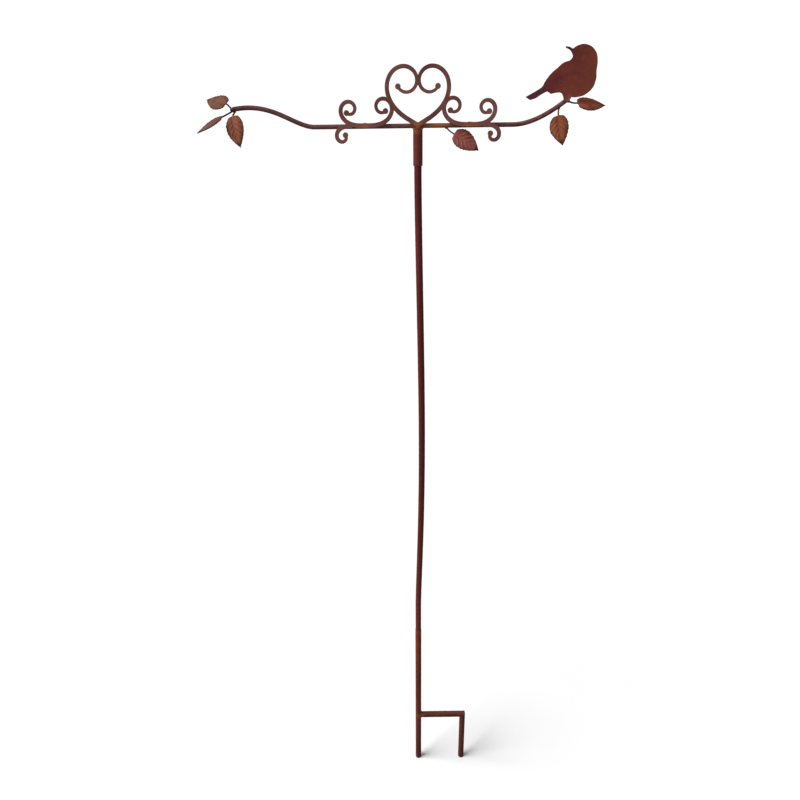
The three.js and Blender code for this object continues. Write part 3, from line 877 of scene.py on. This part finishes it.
def build_leaf_pair():
    ahead = bezier_direction(left_arm, 1)
    crossing = left_arm[3] + ahead * (SEAT_GAP + STEM_RADIUS)
    lines = []
    for leaf, hand in zip(LEAF_PAIR, (1, -1)):
        add_leaf(leaf)
        bend = crossing + Vector((ahead.z, 0, -ahead.x)) * (hand * PAIR_REACH)
        lines.append(stem_line(bend, (leaf_base(leaf) - bend).normalized(), leaf))
    (upper, upper_tip), (lower, lower_tip) = lines
    path = upper_tip[::-1] + upper[::-1] + [crossing] + lower + lower_tip
    radii = tip_radii(len(upper_tip))[::-1] + [STEM_RADIUS] * (len(upper) + len(lower) + 1)
    radii += tip_radii(len(lower_tip))
    add_piece("stem_left_pair", wire(path, radii), dark_stem)
    drop = blob(crossing - ahead * DROP_SET_BACK, DROP_RADIUS, seed=5)
    add_piece("weld_stem_left_pair", drop, dark_weld)


# Materials. The mix numbers are the places of a mix node's colour sockets.
EVEN = (1, 1, 1)
MIX_UNDER = 6
MIX_OVER = 7
MIX_RESULT = 2


def srgb(red, green, blue):
    """A colour given as it shows on screen, from 0 to 255, as the renderer counts it."""
    def linear(level):
        level /= 255
        return level / 12.92 if level <= 0.04045 else ((level + 0.055) / 1.055) ** 2.4
    return linear(red), linear(green), linear(blue), 1.0


class Shader:
    """A material and short ways to add nodes to it."""

    def __init__(self, name):
        self.material = bpy.data.materials.new(name)
        self.material.use_nodes = True
        self.tree = self.material.node_tree
        self.surface = self.tree.nodes["Principled BSDF"]
        coordinates = self.node("ShaderNodeTexCoord")
        self.place = coordinates.outputs["Object"]
        self.normal = coordinates.outputs["Normal"]

    def node(self, kind, **settings):
        made = self.tree.nodes.new(kind)
        for name, value in settings.items():
            setattr(made, name, value)
        return made

    def feed(self, socket, value):
        if isinstance(value, bpy.types.NodeSocket):
            self.tree.links.new(value, socket)
        else:
            socket.default_value = value

    def grain(self, size, detail, stretch=EVEN, distortion=0.0):
        """Soft noise whose patches measure about size, stretched along each axis."""
        mapping = self.node("ShaderNodeMapping")
        self.feed(mapping.inputs["Vector"], self.place)
        mapping.inputs["Scale"].default_value = [1 / (size * MM * pull) for pull in stretch]
        field = self.node("ShaderNodeTexNoise")
        self.feed(field.inputs["Vector"], mapping.outputs["Vector"])
        field.inputs["Scale"].default_value = 1
        field.inputs["Detail"].default_value = detail
        field.inputs["Distortion"].default_value = distortion
        return field.outputs["Fac"]

    def facing(self, axis):
        """How far the surface faces along an axis, from -1 to 1."""
        parts = self.node("ShaderNodeSeparateXYZ")
        self.feed(parts.inputs[0], self.normal)
        return parts.outputs[axis]

    def mark(self, name):
        """A value that a piece's mesh carries from point to point."""
        return self.node("ShaderNodeAttribute", attribute_name=name).outputs["Fac"]

    def spread(self, value, low, high, to_low=0.0, to_high=1.0):
        """The value's range from low to high stretched over another range, and held there."""
        fit = self.node("ShaderNodeMapRange", clamp=True)
        for socket, level in zip(fit.inputs, (value, low, high, to_low, to_high)):
            self.feed(socket, level)
        return fit.outputs["Result"]

    def math(self, operation, first, second=0.0):
        step = self.node("ShaderNodeMath", operation=operation)
        self.feed(step.inputs[0], first)
        self.feed(step.inputs[1], second)
        return step.outputs["Value"]

    def ramp(self, value, *stops):
        band = self.node("ShaderNodeValToRGB")
        self.feed(band.inputs["Fac"], value)
        elements = band.color_ramp.elements
        while len(elements) < len(stops):
            elements.new(0.5)
        for element, (place, colour) in zip(elements, stops):
            element.position = place
            element.color = colour
        return band.outputs["Color"]

    def over(self, share, under, colour):
        """A share of one colour laid over another."""
        blend = self.node("ShaderNodeMix", data_type="RGBA")
        self.feed(blend.inputs["Factor"], share)
        self.feed(blend.inputs[MIX_UNDER], under)
        self.feed(blend.inputs[MIX_OVER], colour)
        return blend.outputs[MIX_RESULT]

    def near(self, spot, reach):
        """1 at a point, falling to 0 at a distance of reach."""
        gap = self.node("ShaderNodeVectorMath", operation="DISTANCE")
        self.feed(gap.inputs[0], self.place)
        gap.inputs[1].default_value = spot * MM
        return self.spread(gap.outputs["Value"], 0, reach * MM, 1, 0)

    def finish(self, colour, roughness, height, depth, gloss):
        self.feed(self.surface.inputs["Base Color"], colour)
        self.feed(self.surface.inputs["Roughness"], roughness)
        self.surface.inputs["Metallic"].default_value = 0
        self.surface.inputs["Specular IOR Level"].default_value = gloss
        relief = self.node("ShaderNodeBump")
        relief.inputs["Strength"].default_value = 1
        relief.inputs["Distance"].default_value = depth * MM
        self.feed(relief.inputs["Height"], height)
        self.feed(self.surface.inputs["Normal"], relief.outputs["Normal"])
        return self.material


# Rust. A band is the range of a noise or a mark over which a colour comes in.
PATCH_DETAIL = 5
PATCH_DISTORTION = 0.6
PATCH_STOPS = (0.32, 0.5, 0.7)
SPOT_SIZE = 9
SPOT_DETAIL = 7
SPOT_DISTORTION = 0.8
SPOT_BAND = (0.5, 0.72)
SPOT_RELIEF = 0.7
FLECK_SIZE = 1.1
FLECK_DETAIL = 4
FLECK_BAND = (0.52, 0.75)
FLECK_SHARE = 0.45
FLECK_RELIEF = 0.3
RELIEF_DEPTH = 0.5
RUST_GLOSS = 0.1
ROUGH_BAND = (0.3, 0.7)
RUST_ROUGHNESS = (0.62, 0.85)
RAGGED_BAND = (0.35, 0.65)
RAGGED_LEAST = 0.35
TINT_BAND = (0.05, 0.6)
EDGE_BAND = (0.4, 0.9)
EDGE_SHARE = 0.8
# Painted light: a painted highlight on faces that look up and a painted shade on undersides
TOP_HIGHLIGHT_BAND = (0.5, 1)
TOP_HIGHLIGHT_SHARE = 0.6
UNDERSIDE_SHADE_BAND = (-0.4, 0.3)
UNDERSIDE_SHADE_SHARE = 0.6

# Leaf rust. Each tone is the leaf's own colour, its channels taken times these shares.
LEAF_DARK = (0.62, 0.56, 0.6)
LEAF_LIGHT = (1.2, 1.32, 1.34)
LEAF_BLOOM = (1.35, 1.22, 0.75)
# The next two tones are a painted shade beside each vein and a painted highlight along the veins
LEAF_VEIN_SHADE = (0.45, 0.4, 0.5)
LEAF_VEIN_HIGHLIGHT = (1.5, 1.65, 2)
LEAF_MARGIN = (0.25, 0.27, 0.38)
LEAF_PATCH = 16
LEAF_BLOOM_SHARE = 0.5
LEAF_ROUGHNESS = (0.6, 0.85)
# Bands and shares of the painted shade beside the veins and the painted highlight along them
VEIN_SHADE_BAND = (0.2, 0.9)
VEIN_SHADE_SHARE = 0.4
VEIN_HIGHLIGHT_BAND = (0.3, 0.95)
VEIN_HIGHLIGHT_SHARE = 0.7
MARGIN_CHANCE_BAND = (0.3, 0.6)
MARGIN_LEAST = 0.6
MARGIN_BAND = (0.05, 0.8)
MARGIN_SHARE = 0.9

# Spigot steel
DRAWN_SIZE = 0.6
DRAWN_DETAIL = 3
DRAWN_STRETCH = (1, 1, 60)
DRAWN_STOPS = (0.3, 0.7)
DRAWN_DEPTH = 0.1
SPIGOT_TONES = (srgb(96, 90, 84), srgb(138, 132, 124))
SPIGOT_RUST = srgb(112, 66, 40)
SPIGOT_SPOT_SIZE = 6
SPIGOT_SPOT_DETAIL = 6
SPIGOT_RUST_BAND = (0.5, 0.65)
SPIGOT_RUST_SHARE = 0.9
SPIGOT_ROUGH_BAND = (0.4, 0.65)
SPIGOT_ROUGHNESS = (0.35, 0.75)
SPIGOT_GLOSS = 0.5
SPIGOT_METALLIC = 0.85

Tones = namedtuple("Tones", "dark body light bloom")
Shade = namedtuple("Shade", "spot reach colour share")


def rust_layers(shader, tones, patch, stretch, bloom):
    """Large patches, orange bloom and fine flecks. Gives the colour and the fine fields it came from."""
    patches = shader.grain(patch, PATCH_DETAIL, stretch, PATCH_DISTORTION)
    colour = shader.ramp(patches, *zip(PATCH_STOPS, (tones.dark, tones.body, tones.light)))
    spots = shader.grain(SPOT_SIZE, SPOT_DETAIL, distortion=SPOT_DISTORTION)
    colour = shader.over(shader.spread(spots, *SPOT_BAND, 0, bloom), colour, tones.bloom)
    flecks = shader.grain(FLECK_SIZE, FLECK_DETAIL)
    colour = shader.over(shader.spread(flecks, *FLECK_BAND, 0, FLECK_SHARE), colour, tones.dark)
    return colour, spots, flecks


def rust_relief(shader, spots, flecks):
    coarse = shader.math("MULTIPLY", spots, SPOT_RELIEF)
    fine = shader.math("MULTIPLY", flecks, FLECK_RELIEF)
    return shader.math("ADD", coarse, fine)


def rust(name, tones, patch, stretch=EVEN, bloom=0.35, shades=(), edge=None, painted_top_light=None):
    """Rusted steel. patch is how large its patches are and bloom how far the orange shows. A shade tints the
    rust round a spot and edge darkens what doesn't face front or back. crown paints a highlight on what
    faces up and a shade on the underside, both of them painted light."""
    shader = Shader(name)
    colour, spots, flecks = rust_layers(shader, tones, patch, stretch, bloom)
    ragged = shader.spread(spots, *RAGGED_BAND, RAGGED_LEAST, 1)
    for shade in shades:
        tint = shader.math("MULTIPLY", shader.near(shade.spot, shade.reach), ragged)
        colour = shader.over(shader.spread(tint, *TINT_BAND, 0, shade.share), colour, shade.colour)
    if edge:
        front = shader.math("ABSOLUTE", shader.facing("Y"))
        colour = shader.over(shader.spread(front, *EDGE_BAND, EDGE_SHARE, 0), colour, edge)
    if painted_top_light:
        # Painted light: a painted highlight where the surface faces up, then a painted shade in the dark edge
        # colour beneath
        up = shader.facing("Z")
        colour = shader.over(shader.spread(up, *TOP_HIGHLIGHT_BAND, 0, TOP_HIGHLIGHT_SHARE), colour, painted_top_light)
        colour = shader.over(shader.spread(up, *UNDERSIDE_SHADE_BAND, UNDERSIDE_SHADE_SHARE, 0), colour, DARK_EDGE)
    roughness = shader.spread(spots, *ROUGH_BAND, *RUST_ROUGHNESS)
    return shader.finish(colour, roughness, rust_relief(shader, spots, flecks), RELIEF_DEPTH, RUST_GLOSS)


def toned(colour, shares):
    """A colour with each of its channels taken times a share."""
    return tuple(level * share for level, share in zip(colour, shares)) + (1.0,)


def leaf_material(name, body, veins):
    """Rusted sheet by a leaf's marks: painted shade beside veins, painted highlight on them, dark margin."""
    shader = Shader(name)
    tones = Tones(toned(body, LEAF_DARK), body, toned(body, LEAF_LIGHT), toned(body, LEAF_BLOOM))
    colour, spots, flecks = rust_layers(shader, tones, LEAF_PATCH, EVEN, LEAF_BLOOM_SHARE)
    # A painted shade beside each vein, then a painted highlight along the veins
    groove = shader.spread(shader.mark("groove"), *VEIN_SHADE_BAND, 0, VEIN_SHADE_SHARE * veins)
    colour = shader.over(groove, colour, toned(body, LEAF_VEIN_SHADE))
    vein = shader.spread(shader.mark("vein"), *VEIN_HIGHLIGHT_BAND, 0, VEIN_HIGHLIGHT_SHARE * veins)
    colour = shader.over(vein, colour, toned(body, LEAF_VEIN_HIGHLIGHT))
    chance = shader.spread(spots, *MARGIN_CHANCE_BAND, MARGIN_LEAST, 1)
    margin = shader.math("MULTIPLY", shader.mark("margin"), chance)
    margin = shader.spread(margin, *MARGIN_BAND, 0, MARGIN_SHARE)
    colour = shader.over(margin, colour, toned(body, LEAF_MARGIN))
    roughness = shader.spread(spots, *ROUGH_BAND, *LEAF_ROUGHNESS)
    return shader.finish(colour, roughness, rust_relief(shader, spots, flecks), RELIEF_DEPTH, RUST_GLOSS)


def spigot_material(name):
    """Drawn steel, worn bright along the rod with rust starting in spots."""
    shader = Shader(name)
    lines = shader.grain(DRAWN_SIZE, DRAWN_DETAIL, DRAWN_STRETCH)
    spots = shader.grain(SPIGOT_SPOT_SIZE, SPIGOT_SPOT_DETAIL)
    colour = shader.ramp(lines, *zip(DRAWN_STOPS, SPIGOT_TONES))
    colour = shader.over(shader.spread(spots, *SPIGOT_RUST_BAND, 0, SPIGOT_RUST_SHARE), colour, SPIGOT_RUST)
    roughness = shader.spread(spots, *SPIGOT_ROUGH_BAND, *SPIGOT_ROUGHNESS)
    material = shader.finish(colour, roughness, lines, DRAWN_DEPTH, SPIGOT_GLOSS)
    shader.surface.inputs["Metallic"].default_value = SPIGOT_METALLIC
    return material


TUBE_STRETCH = (1, 1, 6)
SLEEVE_STRETCH = (1, 1, 3)
BAR_STRETCH = (3, 1, 1)
ORANGE = srgb(140, 80, 42)
SOOT = srgb(40, 27, 26)
# A dark brown that the legs take on towards their bottom ends
BOTTOM_DARK = srgb(58, 27, 21)
DARK_EDGE = srgb(48, 24, 22)
# Colour of the painted highlight on top of the step bar and prong
TOP_HIGHLIGHT_COLOUR = srgb(94, 55, 44)
post_tones = Tones(srgb(60, 16, 20), srgb(76, 23, 25), srgb(90, 33, 34), srgb(104, 50, 33))
sleeve_tones = Tones(srgb(66, 22, 22), srgb(83, 31, 29), srgb(97, 42, 39), srgb(112, 60, 36))
foot_tones = Tones(srgb(72, 28, 19), srgb(88, 35, 24), srgb(104, 48, 32), srgb(124, 66, 36))
brace_tones = Tones(srgb(52, 19, 14), srgb(64, 24, 17), srgb(78, 35, 26), srgb(98, 52, 30))
bar_tones = Tones(srgb(62, 32, 33), srgb(84, 50, 50), srgb(104, 70, 68), srgb(138, 84, 50))
bird_tones = Tones(srgb(84, 36, 34), srgb(98, 43, 38), srgb(108, 50, 40), srgb(116, 58, 34))
scroll_tones = Tones(srgb(82, 46, 44), srgb(99, 60, 57), srgb(112, 72, 66), srgb(132, 78, 46))
stem_tones = Tones(srgb(92, 56, 52), srgb(118, 78, 72), srgb(136, 98, 90), srgb(138, 88, 62))
dark_tones = Tones(srgb(38, 25, 23), srgb(54, 37, 34), srgb(74, 52, 46), srgb(92, 58, 42))
weld_tones = Tones(srgb(76, 42, 28), srgb(104, 60, 36), srgb(128, 80, 48), srgb(140, 80, 40))

# Each leaf's rust colour. The left pair's are set darker, a painted shade that offsets the key light falling
# full on them.
LEAF_BODIES = {
    "left_hanging": (112, 65, 45),
    "middle": (134, 73, 64),
    "right_hanging": (100, 53, 34),
    "right_end": (112, 57, 42),
    "left_upper": (90, 56, 41),
    "left_lower": (83, 52, 39),
}
BRANCH_RUST_X = (-SIDE_SCROLL_X, 0, 18, 36, SIDE_SCROLL_X)
POST_DARK_HEIGHT = 780


def on_bird(spot):
    return in_head(*(perch + Vector(spot)), PLATE_BACK - PLATE_THICKNESS)


# Each shade's reach is in millimetres, and its share is how much of the rust it covers at its spot
bird_shades = (
    Shade(on_bird(BREAST), 60, srgb(107, 54, 30), 0.5),
    Shade(on_bird(TAIL_TIP), 48, srgb(67, 37, 43), 0.95),
    Shade(on_bird(PERCH_FOOT[0]), 12, srgb(118, 84, 74), 0.6),
    Shade(on_bird(BEAK_TIP), 13, SOOT, 0.95),
)
branch_shades = [Shade(in_head(x, BRANCH_RADIUS), 20, ORANGE, 0.8) for x in BRANCH_RUST_X]
branch_shades.append(Shade(left_arm[3], 40, SOOT, 0.9))
# The first two shades make each leg darker towards its bottom end; the third is orange rust at the step bar's
# weld
foot_shades = [
    Shade(Vector((0, 0, 0)), 150, BOTTOM_DARK, 0.85),
    Shade(Vector((LEG_SPACING, 0, 0)), 60, BOTTOM_DARK, 0.5),
    Shade(Vector((FOOT_RADIUS, 0, STEP_HEIGHT)), 14, ORANGE, 0.4),
]
post_shades = [
    Shade(Vector((0, 0, POST_DARK_HEIGHT)), 300, srgb(64, 20, 21), 0.75),
    Shade(Vector((0, 0, post_low.z)), 260, srgb(84, 36, 24), 0.8),
]
scroll_shades = [Shade(in_head(x, 0, PLATE_BACK), 15, ORANGE, 0.8) for x in PLATE_WELD_X]
sleeve_shades = [Shade(Vector((0, 0, sleeve_high.z)), 13, ORANGE, 0.7)]
# A painted shade that darkens the stems round the base of the pair's lower leaf
stem_painted_shade = [Shade(leaf_base(LEAF_PAIR[1]), 24, srgb(18, 13, 13), 1)]

foot_rust = rust("foot_rust", foot_tones, patch=30, stretch=TUBE_STRETCH, shades=foot_shades)
# The step bar and prong carry a painted highlight on top and a painted shade underneath
brace_rust = rust(
    "brace_rust", brace_tones, patch=30, stretch=TUBE_STRETCH, shades=foot_shades, painted_top_light=TOP_HIGHLIGHT_COLOUR
)
post_rust = rust(
    "post_rust", post_tones, patch=34, stretch=TUBE_STRETCH, bloom=0.25, shades=post_shades
)
sleeve_rust = rust(
    "sleeve_rust", sleeve_tones, patch=24, stretch=SLEEVE_STRETCH, shades=sleeve_shades
)
branch_rust = rust("branch_rust", bar_tones, patch=26, stretch=BAR_STRETCH, shades=branch_shades)
bird_rust = rust("bird_rust", bird_tones, patch=55, shades=bird_shades, edge=DARK_EDGE)
scroll_rust = rust("scroll_rust", scroll_tones, patch=40, shades=scroll_shades, edge=DARK_EDGE)
leaf_rust = {}
for leaf in (*SINGLE_LEAVES, *LEAF_PAIR):
    body = srgb(*LEAF_BODIES[leaf.name])
    leaf_rust[leaf.name] = leaf_material(f"leaf_rust_{leaf.name}", body, leaf.veins)
stem_rust = rust("stem_rust", stem_tones, patch=12)
dark_stem = rust("dark_stem", dark_tones, patch=12, shades=stem_painted_shade)
weld_rust = rust("weld_rust", weld_tones, patch=6, bloom=0.6)
dark_weld = rust("dark_weld", dark_tones, patch=6)
bar_weld = rust("bar_weld", bar_tones, patch=6)
spigot_steel = spigot_material("spigot_steel")

build_foot()
build_post()
build_branch()
build_bird()
build_scrolls()
for seed, leaf in enumerate(SINGLE_LEAVES):
    build_single_leaf(seed, leaf)
build_leaf_pair()

# Floor, light and camera. Metres for places and the floor's size, degrees for angles, and millimetres
# for the floor's clouds and relief and for the sensor.
FLOOR_HALF_SIZE = 60.0
FLOOR_CLOUD_SIZE = 300
FLOOR_CLOUD_DETAIL = 3
FLOOR_LEVELS = ((0.3, 0.66), (0.7, 0.68))
FLOOR_ROUGHNESS = 0.9
FLOOR_RELIEF = 0.01
CAMERA_PLACE = (-0.0334, -1.0985, 1.4135)
CAMERA_PITCH = 23.45
CAMERA_ROLL = 0.75
CAMERA_FOCAL_PIXELS = 650
IMAGE_PIXELS = 800
SENSOR_WIDTH = 36
CLIP_START = 0.01
KEY_DIRECTION = Vector((-0.74, -0.22, 0.63))
KEY_STRENGTH = 5.6
KEY_SPREAD = 46
SKY_STRENGTH = 1.05
SKY_BANDS = ((-0.12, 0.3), (-0.05, 1.0), (0.22, 1.0), (0.6, 0.25))


def build_floor():
    half = FLOOR_HALF_SIZE
    corners = [(-half, -half, 0), (half, -half, 0), (half, half, 0), (-half, half, 0)]
    mesh = bpy.data.meshes.new("studio_floor")
    mesh.from_pydata(corners, [], [(0, 1, 2, 3)])
    shader = Shader("pale_floor")
    cloud = shader.grain(FLOOR_CLOUD_SIZE, FLOOR_CLOUD_DETAIL)
    stops = [(place, (level, level, level, 1)) for place, level in FLOOR_LEVELS]
    colour = shader.ramp(cloud, *stops)
    mesh.materials.append(shader.finish(colour, FLOOR_ROUGHNESS, cloud, FLOOR_RELIEF, gloss=0))
    floor = bpy.data.objects.new("studio_floor", mesh)
    bpy.context.scene.collection.objects.link(floor)
    # Soft light from below comes from the low sky and not from the floor
    floor.visible_diffuse = False


def build_light():
    """A broad key light from the left and a white horizon that greys towards the zenith."""
    light = bpy.data.lights.new("key_light", "SUN")
    light.energy = KEY_STRENGTH
    light.angle = math.radians(KEY_SPREAD)
    key = bpy.data.objects.new("key_light", light)
    key.rotation_mode = "QUATERNION"
    key.rotation_quaternion = KEY_DIRECTION.to_track_quat("Z", "Y")
    bpy.context.scene.collection.objects.link(key)

    world = bpy.data.worlds.new("studio_light")
    world.use_nodes = True
    nodes = world.node_tree.nodes
    links = world.node_tree.links
    way = nodes.new("ShaderNodeTexCoord")
    parts = nodes.new("ShaderNodeSeparateXYZ")
    climb = nodes.new("ShaderNodeMapRange")
    climb.inputs["From Min"].default_value = -1
    band = nodes.new("ShaderNodeValToRGB")
    while len(band.color_ramp.elements) < len(SKY_BANDS):
        band.color_ramp.elements.new(0.5)
    for element, (height, level) in zip(band.color_ramp.elements, SKY_BANDS):
        element.position = (height + 1) / 2
        element.color = (level, level, level, 1)
    links.new(way.outputs["Generated"], parts.inputs[0])
    links.new(parts.outputs["Z"], climb.inputs["Value"])
    links.new(climb.outputs["Result"], band.inputs["Fac"])
    links.new(band.outputs["Color"], nodes["Background"].inputs["Color"])
    nodes["Background"].inputs["Strength"].default_value = SKY_STRENGTH
    bpy.context.scene.world = world
    bpy.context.scene.view_settings.view_transform = "Standard"


def build_camera():
    pitch = math.radians(CAMERA_PITCH)
    roll = Matrix.Rotation(-math.radians(CAMERA_ROLL), 3, "Z")
    facing = Matrix.Rotation(math.pi / 2 - pitch, 3, "X") @ roll
    lens = bpy.data.cameras.new("photo_camera")
    lens.sensor_width = SENSOR_WIDTH
    lens.lens = SENSOR_WIDTH * CAMERA_FOCAL_PIXELS / IMAGE_PIXELS
    lens.clip_start = CLIP_START
    camera = bpy.data.objects.new("photo_camera", lens)
    camera.matrix_world = Matrix.Translation(CAMERA_PLACE) @ facing.to_4x4()
    bpy.context.scene.collection.objects.link(camera)
    bpy.context.scene.camera = camera


build_floor()
build_light()
build_camera()
